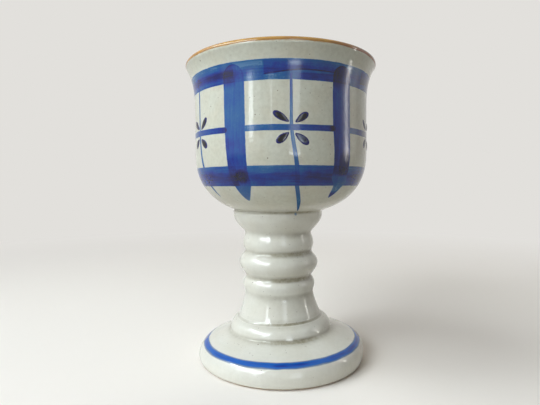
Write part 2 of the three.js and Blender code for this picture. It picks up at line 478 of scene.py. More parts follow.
def turned_piece(name, outline, columns, material, nodes, rows, nearest=None):
    """Carries a closed outline of (radius, height) points round the wheel axis.

    The outline runs upwards outside and downwards inside. Where it starts and ends on the axis,
    those two points are poles with a fan of triangles. rows maps an attribute's name to its value
    at each point, such as pool, how hollow the glaze is there. nearest maps a UV map's name to a
    function that gives each face's reference azimuth and number from the azimuth of its middle:
    the map then holds the distance along the surface from that azimuth in millimetres, and the
    number.
    """
    on_axis = outline[0, 0] < 1e-6
    rings = outline[1:-1] if on_axis else outline
    step = 2 * np.pi / columns
    azimuths = -np.pi + step * np.arange(columns)
    points = thrown_place(azimuths[None, :], rings[:, :1], rings[:, 1:]).reshape(-1, 3)
    corners, faces = closed_faces(len(rings), columns, on_axis)
    if on_axis:
        poles = thrown_place(np.zeros(2), np.zeros(2), outline[[0, -1], 1])
        points = np.concatenate([points, poles])
    uv_maps = {}
    for uv_name, reference in (nearest or {}).items():
        column = corners[0][1]
        azimuth = -np.pi + step * (column[..., None] + np.array([0, 1, 1, 0]))
        origin, number = reference(-np.pi + step * (column + 0.5))
        radius = np.stack([rings[r, 0] for r, _ in corners], axis=-1)
        away = (azimuth - origin[..., None]) * radius / MM
        values = np.stack([away, np.broadcast_to(number[..., None], away.shape)], axis=-1)
        fans = np.zeros((3 * (len(faces) - column.size), 2))
        uv_maps[uv_name] = np.concatenate([values.reshape(-1, 2), fans])
    attributes = {}
    turned = {"turned_radius": outline[:, 0] / MM, "turned_height": outline[:, 1] / MM}
    for attribute_name, values in {**rows, **turned}.items():
        values = values[1:-1] if on_axis else values
        spread = np.repeat(values, columns)
        attributes[attribute_name] = np.concatenate([spread, np.zeros(len(points) - len(spread))])
    new_piece(name, points, faces, material, nodes, uv_maps, attributes)


def nearest_stroke(centres, numbers):
    """A function from azimuths to the nearest stroke's own azimuth, unwrapped, and its number."""
    centres = np.array(centres)
    numbers = np.array(numbers)

    def reference(azimuth):
        away = azimuth[..., None] - centres
        away = (away + np.pi) % (2 * np.pi) - np.pi
        nearest = np.abs(away).argmin(axis=-1)
        distance = np.take_along_axis(away, nearest[..., None], axis=-1)[..., 0]
        return azimuth - distance, numbers[nearest]

    return reference


def bowl_outline(sizes):
    """Outline of the bowl from the axis under its seat, over the lip, to the axis inside.

    Returns the outline, and the lip's centre, radius and lean.
    """
    seat_share = (sizes.seat_radius / sizes.belly_radius) ** (sizes.belly_power / 2)
    to_seat = math.asin(seat_share)
    centre_depth = sizes.belly_depth * math.cos(to_seat) ** (2 / sizes.belly_power)
    centre = (0, BOWL_SEAT + centre_depth)
    flare_start = centre[1] + sizes.wall_height
    flare_end = flare_start + sizes.flare_height
    lean = math.atan(sizes.flare_reach * sizes.flare_power / sizes.flare_height)
    lip_radius = sizes.lip_thickness / 2
    lip_centre = (
        sizes.belly_radius + sizes.flare_reach - lip_radius * math.cos(lean),
        flare_end + lip_radius * math.sin(lean),
    )
    lip = oval_run(16, lip_centre, lip_radius, lip_radius, -lean, math.pi - lean)
    inner_radius = sizes.belly_radius - sizes.wall
    inner_rise, inner_reach = lip[-1][1] - flare_start, lip[-1][0] - inner_radius
    inner_power = math.tan(lean) * inner_rise / inner_reach
    quarter = math.pi / 2
    edge = 0.5 * MM
    seat_corner = (sizes.seat_radius, BOWL_SEAT)
    belly = oval_run(
        70, centre, sizes.belly_radius, sizes.belly_depth, to_seat - quarter, 0, sizes.belly_power
    )
    seat_edge = corner_run(4, (sizes.seat_radius - edge, BOWL_SEAT), seat_corner, belly[1])
    outside = joined(
        straight_run(6, (0, BOWL_SEAT), seat_edge[0]),
        seat_edge,
        belly[2:],
        straight_run(18, (sizes.belly_radius, centre[1]), (sizes.belly_radius, flare_start)),
        power_run(30, (sizes.belly_radius, flare_start), lip[0], sizes.flare_power),
    )
    inside = joined(
        power_run(24, (inner_radius, flare_start), lip[-1], inner_power)[::-1],
        straight_run(8, (inner_radius, flare_start), (inner_radius, centre[1])),
        oval_run(46, centre, inner_radius, centre_depth - sizes.floor, 0, -quarter, sizes.inner_power),
    )
    outline = joined(outside, lip, inside)
    outline[[0, -1], 0] = 0
    return outline, (lip_centre, lip_radius, lean)


def stem_outline(sizes):
    """Outline of the stem and how hollow each point is.

    Beads rise from groove to crest by (1 - s^2)^power, where s runs from 1 in the groove to 0 on
    the crest. The outer side is softened as glaze does.
    """
    height = STEM_LOW
    skirt_low = (sizes.skirt_radius, height)
    height += sizes.skirt_height
    outer = [power_run(20, (sizes.groove_radii[0], height), skirt_low, sizes.skirt_power)[::-1]]
    s = np.linspace(1, 0, 17)
    swell = (1 - s**2) ** sizes.bead_power
    for number, crest in enumerate(sizes.crest_radii):
        groove = sizes.groove_radii[number]
        rise = sizes.crest_rises[number]
        outer.append(np.stack([groove + (crest - groove) * swell, height + rise * (1 - s)], axis=1))
        height += rise
        if number < len(sizes.crest_falls):
            groove = sizes.groove_radii[number + 1]
            fall = sizes.crest_falls[number]
            radii = groove + (crest - groove) * swell[::-1]
            outer.append(np.stack([radii, height + fall * (1 - s)], axis=1))
            height += fall
    edge = 0.6 * MM
    crest = sizes.crest_radii[-1]
    rim = (sizes.collar_edge - edge, STEM_HIGH)
    outer.append(corner_run(6, (crest, height), (crest, STEM_HIGH), rim))
    soft = averaged(points_along(joined(*outer), None), sizes.softness)
    pool = hollowness(soft, 1.9 * MM)
    pool *= np.interp(soft[:, 1], np.array([61, 64]) * MM, [1, 0.4])
    pool = np.maximum(pool, np.interp(soft[:, 1], [STEM_LOW, STEM_LOW + 3 * MM], [0.35, 0]))
    low, high = sizes.mouths
    low_rise, high_rise = sizes.mouth_heights
    inner = joined(
        power_run(8, (sizes.bore, STEM_HIGH - high_rise), (high, STEM_HIGH), 2.0)[::-1],
        power_run(8, (sizes.bore, STEM_LOW + low_rise), (low, STEM_LOW), 2.0),
    )
    outline = np.concatenate([soft, inner])
    return outline, np.concatenate([pool, np.zeros(len(inner))])


def foot_outline(sizes):
    """Outline of the foot and how hollow each point is, from the resting ring round and back."""
    seat_radius = sizes.skirt_radius + sizes.seat_ledge
    edge_centre = (sizes.foot_radius - sizes.edge_reach, sizes.foot_widest)
    turn = math.pi / 2 - math.atan(sizes.foot_slope * sizes.edge_reach / sizes.edge_rise)
    shoulder = oval_run(30, edge_centre, sizes.edge_reach, sizes.edge_rise, 0, turn)
    top_radius, top_height = shoulder[-1]

    def top_at(radius):
        return top_height + sizes.foot_slope * (top_radius - radius)

    def underside_at(radius):
        return top_at(radius) - sizes.foot_wall

    reach = sizes.ring_reach + sizes.ring_inset
    ring_centre = (
        seat_radius - sizes.ring_inset,
        top_at(seat_radius + sizes.ring_reach) + sizes.ring_undercut,
    )
    slope_rise = sizes.foot_slope * reach
    crease = math.asin(
        (top_at(ring_centre[0]) - ring_centre[1]) / math.hypot(sizes.ring_rise, slope_rise)
    ) - math.atan2(slope_rise, sizes.ring_rise)
    ring_end = math.acos(sizes.ring_inset / reach)
    ring = oval_run(30, ring_centre, reach, sizes.ring_rise, crease, ring_end)
    inner_rest, outer_rest = sizes.rest_radii
    outer = joined(
        corner_run(10, (outer_rest, 0), (sizes.foot_radius, 0), (sizes.foot_radius, edge_centre[1])),
        shoulder,
        ring,
    )
    soft = averaged(points_along(outer, None), sizes.softness)
    pool = hollowness(soft, 2.3 * MM)
    pool = np.maximum(pool, np.interp(soft[:, 1], [FOOT_SEAT - 2 * MM, FOOT_SEAT], [0, 0.35]))
    hollow, mouth = sizes.hollow_radius, sizes.mouths[0]
    roof = FOOT_SEAT - sizes.hollow_roof
    throat = (underside_at(hollow) + roof) / 2
    flank = hollow + sizes.recess_corner
    corner = inner_rest - sizes.recess_corner
    inner = joined(
        straight_run(4, (seat_radius - 0.3 * MM, FOOT_SEAT), (mouth, FOOT_SEAT)),
        straight_run(3, (mouth, FOOT_SEAT), (mouth, roof + 0.6 * MM)),
        corner_run(6, (mouth, roof + 0.6 * MM), (hollow, roof), (hollow, throat)),
        corner_run(6, (hollow, throat), (hollow, underside_at(hollow)), (flank, underside_at(flank))),
        straight_run(6, (flank, underside_at(flank)), (corner, underside_at(corner))),
        corner_run(
            8,
            (corner, underside_at(corner)),
            (inner_rest, underside_at(inner_rest)),
            (inner_rest, 1.2 * MM),
        ),
        corner_run(4, (inner_rest, 1.2 * MM), (inner_rest, 0), (inner_rest + 0.8 * MM, 0)),
        straight_run(4, (inner_rest + 0.8 * MM, 0), (outer_rest - 0.3 * MM, 0)),
    )
    outline = np.concatenate([soft, inner])
    return outline, np.concatenate([pool, np.zeros(len(inner))])


def joint_outline(below, above, reaches, inner):
    """Section of a luting ring under its glaze, which has run onto the clay on both sides.

    below ends at the joint and above starts there. The outer side is a quadratic curve that
    leaves each of them along its own direction, at its reach from the joint. Returns the
    section, and how hollow each point is.
    """
    ends = []
    for points, reach in ((below[::-1], reaches[0]), (above, reaches[1])):
        pair = points_along(points, np.array([reach, reach + 0.3 * MM]))
        ends.append((pair[0], pair[0] - pair[1]))
    (low, low_way), (high, high_way) = ends
    share = np.linalg.solve(np.stack([low_way, -high_way], axis=1), high - low)[0]
    count = 14
    curve = corner_run(count, low, low + low_way * share, high)
    t = np.linspace(0, 1, count + 1)
    curve[:, 0] -= 0.03 * MM * (1 - np.sin(np.pi * t)) ** 4
    inside = np.array([(inner, above[0, 1]), (inner, below[-1, 1])])
    outline = np.concatenate([curve, inside])
    return outline, np.concatenate([np.sin(np.pi * t) ** 2.5, [0, 0]])


def new_material(name):
    """Returns a new material, and the object coordinates in millimetres as its first shade."""
    material = bpy.data.materials.new(name)
    material.use_nodes = True
    material.node_tree.nodes.clear()
    place = Shade(material.node_tree).node("TexCoord", output=3)
    return material, place.stretched(1 / MM, 1 / MM, 1 / MM)


def looking_ray(start):
    """1 for the camera's own rays and for the mirrored and refracted ones, 0 for the rest."""
    outputs = start.node("LightPath").socket.node.outputs
    seen = Shade(start.tree, outputs["Is Camera Ray"])
    seen = seen.most(Shade(start.tree, outputs["Is Transmission Ray"]))
    return seen.most(Shade(start.tree, outputs["Is Glossy Ray"]))


def finish_material(base, rough, height):
    """Adds the shader and its bump. height is in millimetres over the surface."""
    bump = height.node("Bump", {}, {"Height": height, "Distance": MM, "Strength": 1.0})
    values = {"Base Color": base, "Roughness": rough, "Normal": bump, "IOR": 1.5}
    shader = height.node("BsdfPrincipled", {}, values)
    shader.node("OutputMaterial", {}, {"Surface": shader})


def gloss(place):
    """Roughness of the glaze, a little uneven."""
    return place.noise(4.0) * 0.06 + 0.04


def stored(place, name):
    """A value that each vertex of the mesh stores under this name."""
    return place.node("Attribute", {"attribute_name": name}, output=2)


def specks(place, cell, share, least, most, more=0.0):
    """Round dots of random size, one at most in each cell: share of the cells have one.

    more is a value that raises the share where it is high.
    """
    distance = place.cells(cell, 0) * cell
    chance = place.cells(cell, 1)
    present = (chance.part("X") + more).rise(1 - share - 0.02, 1 - share + 0.02)
    radius = chance.part("Y") ** 2 * (most - least) + least
    return present * distance.rise(radius, radius * 0.35)


def stoneware(place, colours, pool, below=82.0):
    """Cream glaze: warm and grey clouds, iron specks of two sizes, olive where it pools.

    It is paler and cooler where the height is under below. Returns its colour, and its surface
    height in millimetres.
    """
    x, z = place.part("X"), place.part("Z")
    clouds = place.noise(14.0, 3.0).rise(0.38, 0.68)
    mottle = place.noise(1.6, 3.0, 0.6).rise(0.3, 0.75)
    cream = z.rise(below, below - 8).mix(colours.cream, colours.pale)
    painted = z.rise(below - 8, below) * 0.6 + 0.4
    base = (clouds * painted * 0.6).mix(cream, colours.warm)
    base = (mottle * painted * 0.16).mix(base, colours.olive)
    thick = x.rise(-16.0, 6.0) * x.rise(24.0, 10.0) * 0.6 + 0.4
    ragged = (pool * 1.3).least(1.0) * thick * (place.noise(2.2, 3.0, 0.65) * 1.1 + 0.4)
    base = (ragged * 0.8).clamp().mix(base, colours.olive)
    freckled = x.rise(-8.0, 0.0) * x.rise(16.0, 6.0) * z.rise(44.0, 38.0) * z.rise(12.0, 15.0)
    more = pool * thick * 0.4 + freckled * 0.3
    large = specks(place, 4.2, 0.34, 0.24, 0.52, more)
    small = specks(place, 1.9, 0.4, 0.16, 0.36, more)
    faint = specks(place, 6.5, 0.3, 0.4, 1.1)
    iron = (large * 0.8).most(small * 0.6).most(faint * 0.16)
    base = iron.mix(base, colours.iron)
    turning = place.stretched(0.04, 0.04, 1.0).noise(2.4) * 0.05
    peel = place.noise(3.2) * 0.03 + place.noise(0.9) * 0.003
    return base, peel + turning - large * 0.012


def blue_over(place, base, load, colours):
    """Cobalt over the glaze, by how much lies there: from a pale wash to navy with violet clouds."""
    blues = (colours.wash, colours.steel, colours.azure, colours.cobalt, colours.navy, colours.night)
    stops = list(zip((0.0, 0.17, 0.3, 0.44, 0.62, 0.85), blues))
    ramp = load.node("ValToRGB", {"stops": stops}, {"Fac": load * 0.5})
    bloom = place.noise(3.5, 3.0, 0.65).rise(0.55, 0.75) * load.rise(0.75, 1.2) * 0.3
    ramp = bloom.mix(ramp, colours.violet)
    return load.rise(0.0, 0.2).mix(base, ramp)


def soft_edge(inside, blur=0.2):
    """1 where the distance inside a stroke's edge is positive, 0 outside, soft between them."""
    return inside.rise(-blur, blur)


def wet_edge(inside):
    """1 just inside a stroke's edge, where its pigment gathers."""
    return inside.rise(1.0, 0.2) * soft_edge(inside)


def bowl_paint_and_shade(place, brush):
    """How much cobalt lies on the bowl, the sum of its strokes; the extra towards the right is partly
    painted shade.

    The UV map wide_strokes gives the distance from the nearest wide stroke and the height of its
    tail's tip. thin_strokes gives the same for the nearest thin line, and turn grows from 0 on
    the right of each wide stroke to 1 on the left of the next, as the brush was drawn.
    """
    x, z = place.part("X"), place.part("Z")
    wide = place.node("UVMap", {"uv_map": "wide_strokes"})
    thin = place.node("UVMap", {"uv_map": "thin_strokes"})
    ragged = place.waver(5.0) * 0.9 + place.waver(0.8) * 0.3
    round_hairs = place.stretched(0.06, 0.06, 1.0).waver(0.6, 4.0, 0.65)
    upright_hairs = place.stretched(1.0, 1.0, 0.05).waver(0.8, 4.0, 0.65)
    cloud = place.waver(7.0, 3.0, 0.6)
    grain = place.waver(0.7)
    turn = (wide.part("X") / 49.0).math("FRACT")

    # Bands round the bowl: thin where the brush starts, and paler along the upper edge
    front = x.rise(-24.0, -12.0)
    restart = turn.rise(0.27, 0.29) * turn.rise(0.95, 0.8) * front
    bands = []
    for low, high, least, more, darker in (
        (*brush.top_band, 0.36, 0.42, 0.52 - front * 0.3 - restart * 0.18),
        (*brush.low_band, 0.6, 0.36, 0.22),
    ):
        low, high = low / MM, high / MM
        inside = (z - low).least(high - z) + ragged * 0.35
        share = (z - low) / (high - low)
        pale = share.rise(0.55, 1.0) * (0.46 - turn * 0.14)
        dark = share.rise(0.12, 0.4) * share.rise(0.72, 0.5) * darker
        flow = turn * more + least - pale + dark + round_hairs * 1.0 + cloud * 0.9 + grain * 0.3
        # More blue towards the right side: partly the brush's load, partly painted shade
        bands.append((inside, (flow + x.rise(24.0, 38.0) * 0.3).most(0.24)))
    top_low, top_high = (value / MM for value in brush.top_band)
    over_seam = z - top_low - 2.2 - turn.rise(0.2, 0.65) * 1.9 + ragged * 0.5
    seam = abs(over_seam).rise(0.42, 0.14) * restart
    second = over_seam.rise(-0.1, 0.3) * z.rise(top_high + 0.2, top_high - 1.0) * (0.6 - turn * 0.45)
    second = second + over_seam.rise(-0.7, -1.5) * turn.rise(0.5, 0.62) * 0.5
    second = restart * (second - over_seam.rise(0.1, -0.3) * 0.14)
    inside, flow = bands[0]
    top = soft_edge(inside) * (flow + seam * 0.75 + second) + wet_edge(inside) * 0.1
    inside, flow = bands[1]
    across = (top + soft_edge(inside) * flow + wet_edge(inside) * 0.1).most(0.0)

    # Wide strokes start round inside the top band and end in a pointed tail below the low band
    half = brush.band_half_width / MM
    tip = wide.part("Y")
    leaning = wide.part("X") + (z - 112.0) * 0.016
    over = (z - (top_high - 0.8 - half)).most(0.0)
    tail = ((z - tip) / (89.5 - tip)).clamp()
    right = x.rise(0.0, 24.0)
    narrowing = z.rise(118.0, 92.0) * 0.5
    hook = z.rise(92.0, 88.5) * tail * (right * 0.9 + 0.6)
    sideways = leaning - narrowing - hook + (1 - tail) * right * 0.8
    from_line = (sideways * sideways + over * over) ** 0.5
    half = half - narrowing - (right * 1.0 + 0.2) * z.rise(91.0, 87.0)
    inside = tail**0.65 * half + ragged * 0.4 - from_line
    body = soft_edge(inside) * z.rise(tip - 0.3, tip + 0.3)
    # Heavier towards the right side: partly the brush's load, partly painted shade
    flow = right * 0.34 + 0.47 + leaning.rise(-1.2, -4.4) * 0.1
    thinned = (z - right * 4.0).rise(90.0, 87.0)
    flow = flow + z.rise(120.0, 97.0) * (0.32 - right * 0.14) - thinned * (right * 0.35 + 0.3)
    flow = flow + tail.rise(0.5, 0.25) * right * 0.8
    head = z.rise(128.5, 133.0) * leaning.rise(3.8, -1.0) * 0.4
    below = (z - 92.3 - right * 5.5) / (right * 2.6 + 3.0)
    pooled = ((leaning - 1.8) / 3.6) ** 2 + below * below + ragged * 0.3
    flow = flow + head + pooled.rise(1.3, 0.35) * (0.5 - right * 0.15)
    flow = flow + upright_hairs * 0.75 + cloud * 0.55 + grain * 0.25
    strokes = body * flow + wet_edge(inside) * z.rise(128.0, 136.0) * 0.2
    wiped = body * right * z.rise(94.0, 92.0) * z.rise(86.0, 88.0) * 0.5
    across = across - across * wiped

    # Thin lines run down through each flower and drift to the right below it
    line_tip = thin.part("Y")
    drift = z.rise(116.0, 90.0) * 3.0 + (88.0 - z).most(0.0) * 0.24 + 0.3
    line_width = z.rise(130.0, 92.0) * 0.34 + brush.line_half_width / MM + ragged * 0.15
    line_width = line_width * ((z - line_tip) / 5.0).clamp() ** 0.5
    inside = line_width - abs(thin.part("X") - drift)
    line = soft_edge(inside, 0.16) * z.rise(line_tip - 0.2, line_tip + 0.4) * z.rise(135.5, 134.0)
    flow = upright_hairs * 0.4 + cloud * 0.4 + 0.34 + z.rise(110.0, 97.0) * z.rise(80.0, 90.0) * 0.14
    flow = flow + z.rise(119.0, 128.0) * 0.3
    strokes = strokes + line * flow + line * inside.rise(0.5, 0.1) * 0.16

    # The line through the flowers starts on the right of each wide stroke and ends in the next
    middle = brush.middle_height / MM
    rising = place.waver(30.0, 1.0) * 1.4
    level = z - middle - rising
    past_end = (4.8 - abs(leaning + 0.4)).most(0.0)
    inside = ragged * 0.2 + brush.middle_half_width / MM - (level * level + past_end**2) ** 0.5
    # Heavier towards the right end: partly the brush's load, partly painted shade
    flow = turn * 0.8 + 0.22 + x.rise(30.0, 40.0) * 0.5 + round_hairs * 0.4 + cloud * 0.4 + grain * 0.5
    blot = leaning.rise(-7.4, -6.2) * leaning.rise(-4.4, -5.0) * (right * 0.5 + 0.1)
    line = (soft_edge(inside) * (flow + blot) + wet_edge(inside) * 0.1).most(0.0)
    strokes = strokes.most(0.0)
    strokes = strokes.most(line) + strokes.least(line) * turn.rise(0.5, 0.9) * 0.35
    return across.most(strokes) + across.least(strokes) * 0.25


def bowl_material(colours, brush):
    """Stoneware with its brushwork, partly painted shade on the right, and a breath of honey glaze
    under the lip.
    """
    material, place = new_material("painted_stoneware")
    base, surface = stoneware(place, colours, stored(place, "pool"))
    load = bowl_paint_and_shade(place, brush) * stored(place, "outside")
    painted = load.rise(0.02, 0.2)
    base = blue_over(place, base, load, colours)
    honey = place.part("Z") + place.waver(2.5) * 1.2
    base = (honey.rise(146.2, 147.4) * 0.8).mix(base, colours.honey)
    grain = place.waver(0.45, 2.0, 0.6) * painted
    rough = gloss(place) + painted * 0.03
    finish_material(base, rough, surface + grain * 0.02 + painted * 0.03)
    return material


def plain_material(name, colours):
    """Stoneware glaze for the stem and the luted joints, with two splashes of the painter's blue."""
    material, place = new_material(name)
    base, surface = stoneware(place, colours, stored(place, "pool"))
    for centre, radius in (((8.4, -16.2, 63.0), 0.75), ((7.9, -21.2, 74.7), 1.0)):
        away = place.node("VectorMath", {"operation": "DISTANCE"}, {0: place, 1: centre}, 1)
        splash = (away + place.waver(0.8) * 0.8).rise(radius, radius * 0.3) * 0.7
        base = splash.mix(base, colours.steel)
    finish_material(base, gloss(place), surface)
    return material


def foot_material(colours, brush):
    """Stoneware with one blue line on the rolled edge, and bare clay on the resting ring."""
    material, place = new_material("foot_stoneware")
    base, surface = stoneware(place, colours, stored(place, "pool"))
    radius, height = stored(place, "turned_radius"), stored(place, "turned_height")
    low, high = (value / MM for value in brush.foot_line)
    wavy = place.waver(9.0) * 0.5
    inside = (radius - low + wavy).least(high - radius - wavy)
    line = soft_edge(inside, 0.18) * height.rise(5.0, 6.0)
    hairs = place.stretched(0.05, 0.05, 1.0).waver(0.5)
    flow = inside.rise(0.0, 1.1) * 0.8 + hairs * 0.5 + place.waver(12.0) * 0.9
    blue = flow.rise(0.0, 0.75).mix(colours.steel, colours.foot_blue)
    blue = flow.rise(0.55, 1.1).mix(blue, colours.cobalt)
    base = (line * (flow.rise(-0.3, 0.5) * 0.35 + 0.65)).mix(base, blue)
    worn = place.waver(3.0) * 0.6
    bare = (height + worn).rise(0.9, 0.6) * radius.rise(35.9, 36.2)
    grit = place.noise(0.5, 3.0, 0.7)
    clay = (grit * 0.5).mix(colours.clay, colours.iron)
    base = bare.mix(base, clay)
    rough = gloss(place) + bare * 0.65
    finish_material(base, rough, surface + bare * grit * 0.05)
    return material


def honey_material(colours):
    """Honey glaze: golden where thin, amber where thick. The pool attribute is 1 mid coat."""
    material, place = new_material("honey_glaze")
    coat = stored(place, "pool")
    base, surface = stoneware(place, colours, coat * 0.0)
    uneven = place.waver(9.0) + place.part("X").rise(15.0, 45.0) * 0.7
    honey = (coat.rise(0.9, 0.5) * 0.3 + uneven * 1.2).clamp()
    honey = honey.mix(colours.honey, colours.amber)
    covered = (coat * 3.0 + place.waver(2.0) * 0.7).clamp()
    finish_material((covered * 0.95).mix(base, honey), place.noise(4.0) * 0.05 + 0.06, surface)
    return material


def petal_material(colours):
    """Near-black thick blue with a thinner blue rim, where pool is 1; greyish where thin, and as a
    painted reflection.
    """
    material, place = new_material("petal_blue")
    ragged = stored(place, "pool") + place.waver(1.2) * 0.35
    # Greyish blue of thin petals; on the front flower's lower right petal it is partly a painted
    # reflection
    thin = stored(place, "thinness") * place.noise(2.5).rise(0.2, 0.6)
    base = thin.mix(colours.petal, colours.worn)
    base = ragged.rise(0.55, 0.85).mix(base, colours.petal_rim)
    height = place.noise(0.6) * 0.01 + place.noise(1.6) * 0.04
    finish_material(base, place.noise(2.0) * 0.1 + 0.08, height)
    return material


def stage_material(studio):
    """Pale floor that turns into the even background far from the object.

    It lights the object from below as a table would that is pale near the foot and darker beyond.
    """
    material, place = new_material("studio_floor")
    x, y = place.part("X"), place.part("Y")
    away = (x * x + y * y) ** 0.5
    far, near = away.rise(150.0, 600.0), away.rise(160.0, 60.0)
    direct = looking_ray(place)
    table = direct.most(near).mix(studio.bounce_colour, studio.floor_colour)
    surface = place.node("BsdfDiffuse", {}, {"Color": table})
    glow = place.node("Emission", {}, {"Color": as_colour(studio.backdrop_colour), "Strength": 1.0})
    mixed = place.node("MixShader", {}, {0: far * direct, 1: surface, 2: glow})
    place.node("OutputMaterial", {}, {"Surface": mixed})
    return material


def add_floor(studio):
    """Adds the wide plain floor under the goblet."""
    mesh = bpy.data.meshes.new("studio_floor")
    signs = ((-1, -1), (1, -1), (1, 1), (-1, 1))
    corners = [(x * FLOOR_HALF, y * FLOOR_HALF, 0) for x, y in signs]
    mesh.from_pydata(corners, [], [(0, 1, 2, 3)])
    mesh.materials.append(stage_material(studio))
    new_object("studio_floor", mesh)


def add_lights(studio):
    """Adds upright panes of light that face the object.

    Each has its direction from the object in degrees, distance, width, lowest and highest edge,
    radiance and tint.
    """
    cool, warm = (0.87, 0.945, 1.0), (1.0, 0.96, 0.9)
    lights = {
        "left_high": (-84, 0.75, 0.5, 0.8, 1.75, 7.8 * studio.key, cool),
        "left_low": (-84, 0.75, 0.5, 0.36, 0.8, 3.0 * studio.key, cool),
        "window": (-48, 0.75, 0.5, 0.36, 0.8, 9.7 * studio.key, cool),
        "window_edge": (-29, 0.72, 0.04, 0.34, 1.3, 8.5 * studio.key, cool),
        "low_wall": (-50, 0.75, 0.7, 0.05, 0.34, 0.7 * studio.key, cool),
        "right_side": (95, 0.6, 0.3, 0.1, 0.5, 0.6 * studio.fill, warm),
        "back_fill": (165, 0.8, 0.9, 0.2, 1.2, 1.5 * studio.fill, warm),
        "front_glow": (17, 0.55, 0.12, 0.08, 0.4, 2.7 * studio.fill, cool),
        "right_low": (89, 0.55, 0.035, 0.045, 0.105, 5.0 * studio.fill, warm),
        "right_strip": (89, 0.55, 0.035, 0.105, 0.155, 12.0 * studio.fill, warm),
        "right_pane": (89, 0.55, 0.035, 0.155, 0.36, 6.5 * studio.fill, warm),
        "front_pane": (17, 0.55, 0.13, 0.035, 0.085, 8.0 * studio.fill, cool),
        "skylight": (-78, 0.75, 0.32, 0.6, 0.73, 22.0 * studio.fill, cool),
        "sash": (-36, 0.6, 0.06, 0.16, 0.42, 7.0 * studio.fill, cool),
        "branch": (-11, 0.6, 0.01, 0.17, 0.3, 7.0 * studio.fill, cool),
    }
    only_mirrored = {"right_low", "right_strip", "right_pane", "front_pane"}
    only_mirrored |= {"skylight", "sash", "branch"}
    never_mirrored = {"left_high", "back_fill"}
    for name, (degrees, distance, width, low, high, radiance, tint) in lights.items():
        lamp = bpy.data.lights.new(name, "AREA")
        lamp.shape = "RECTANGLE"
        lamp.size, lamp.size_y = width, high - low
        lamp.energy = radiance * math.pi * width * (high - low)
        lamp.color = tint
        holder = new_object(name, lamp)
        holder.visible_diffuse = name not in only_mirrored
        holder.visible_glossy = name not in never_mirrored
        direction = math.radians(degrees)
        away = Vector((math.sin(direction), -math.cos(direction), 0))
        holder.rotation_euler = (-away).to_track_quat("-Z", "Y").to_euler()
        holder.location = away * distance + Vector((0, 0, (low + high) / 2))


def add_world(studio):
    """Adds the background: the even backdrop where it is looked at, and a faint warm light."""
    world = bpy.data.worlds.new("studio_world")
    bpy.context.scene.world = world
    world.use_nodes = True
    world.node_tree.nodes.clear()
    start = Shade(world.node_tree)
    even = {"Color": (1.0, 0.93, 0.84, 1.0), "Strength": studio.sky}
    light = start.node("Background", {}, even)
    backdrop = {"Color": as_colour(studio.backdrop_colour), "Strength": 1.0}
    backdrop = start.node("Background", {}, backdrop)
    mixed = start.node("MixShader", {}, {0: looking_ray(start), 1: light, 2: backdrop})
    start.node("OutputWorld", {}, {"Surface": mixed})


def add_camera(studio):
    """Adds the camera with the fitted focal length, place and turn."""
    camera = bpy.data.cameras.new("camera")
    camera.sensor_width = CAMERA_SENSOR
    camera.lens = studio.camera_focus / PHOTO_WIDTH * CAMERA_SENSOR
    camera.clip_start = 0.01
    holder = new_object("camera", camera)
    pitch, turn, roll = studio.camera_turn
    holder.matrix_world = (
        Matrix.Translation((0, -studio.camera_distance, studio.camera_height))
        @ Matrix.Rotation(turn, 4, "Z")
        @ Matrix.Rotation(math.pi / 2 + pitch, 4, "X")
        @ Matrix.Rotation(roll, 4, "Z")
    )
    bpy.context.scene.camera = holder


class GOBLET_OT_bowl(bpy.types.Operator):
    """Builds the painted bowl over its trimmed seat"""

    bl_idname = "goblet.bowl"
    bl_label = "Bowl"

    def execute(self, context):
        settings = context.scene.goblet
        outline, _ = bowl_outline(settings.sizes)
        brush = settings.brush
        nearest = {
            "wide_strokes": nearest_stroke(brush.band_azimuths, np.array(brush.band_tips) / MM),
            "thin_strokes": nearest_stroke(brush.flower_azimuths, np.array(brush.line_tips) / MM),
        }
        outside = np.arange(len(outline)) <= outline[:, 1].argmax()
        rows = {"pool": np.zeros(len(outline)), "outside": outside * 1.0}
        glaze = bowl_material(settings.colours, brush)
        columns = settings.sizes.columns
        name = "painted_bowl"
        turned_piece(name, outline, columns, glaze, ["bowl"], rows, nearest)
        return {"FINISHED"}


class GOBLET_OT_stem(bpy.types.Operator):
    """Builds the beaded stem with its collar and skirt"""

    bl_idname = "goblet.stem"
    bl_label = "Stem"

    def execute(self, context):
        settings = context.scene.goblet
        outline, pool = stem_outline(settings.sizes)
        glaze = plain_material("stem_stoneware", settings.colours)
        columns = settings.sizes.columns
        rows = {"pool": pool}
        turned_piece("beaded_stem", outline, columns, glaze, ["stem"], rows)
        return {"FINISHED"}


class GOBLET_OT_foot(bpy.types.Operator):
    """Builds the moulded foot with its blue line and bare resting ring"""

    bl_idname = "goblet.foot"
    bl_label = "Foot"

    def execute(self, context):
        settings = context.scene.goblet
        outline, pool = foot_outline(settings.sizes)
        glaze = foot_material(settings.colours, settings.brush)
        columns = settings.sizes.columns
        rows = {"pool": pool}
        turned_piece("moulded_foot", outline, columns, glaze, ["foot"], rows)
        return {"FINISHED"}


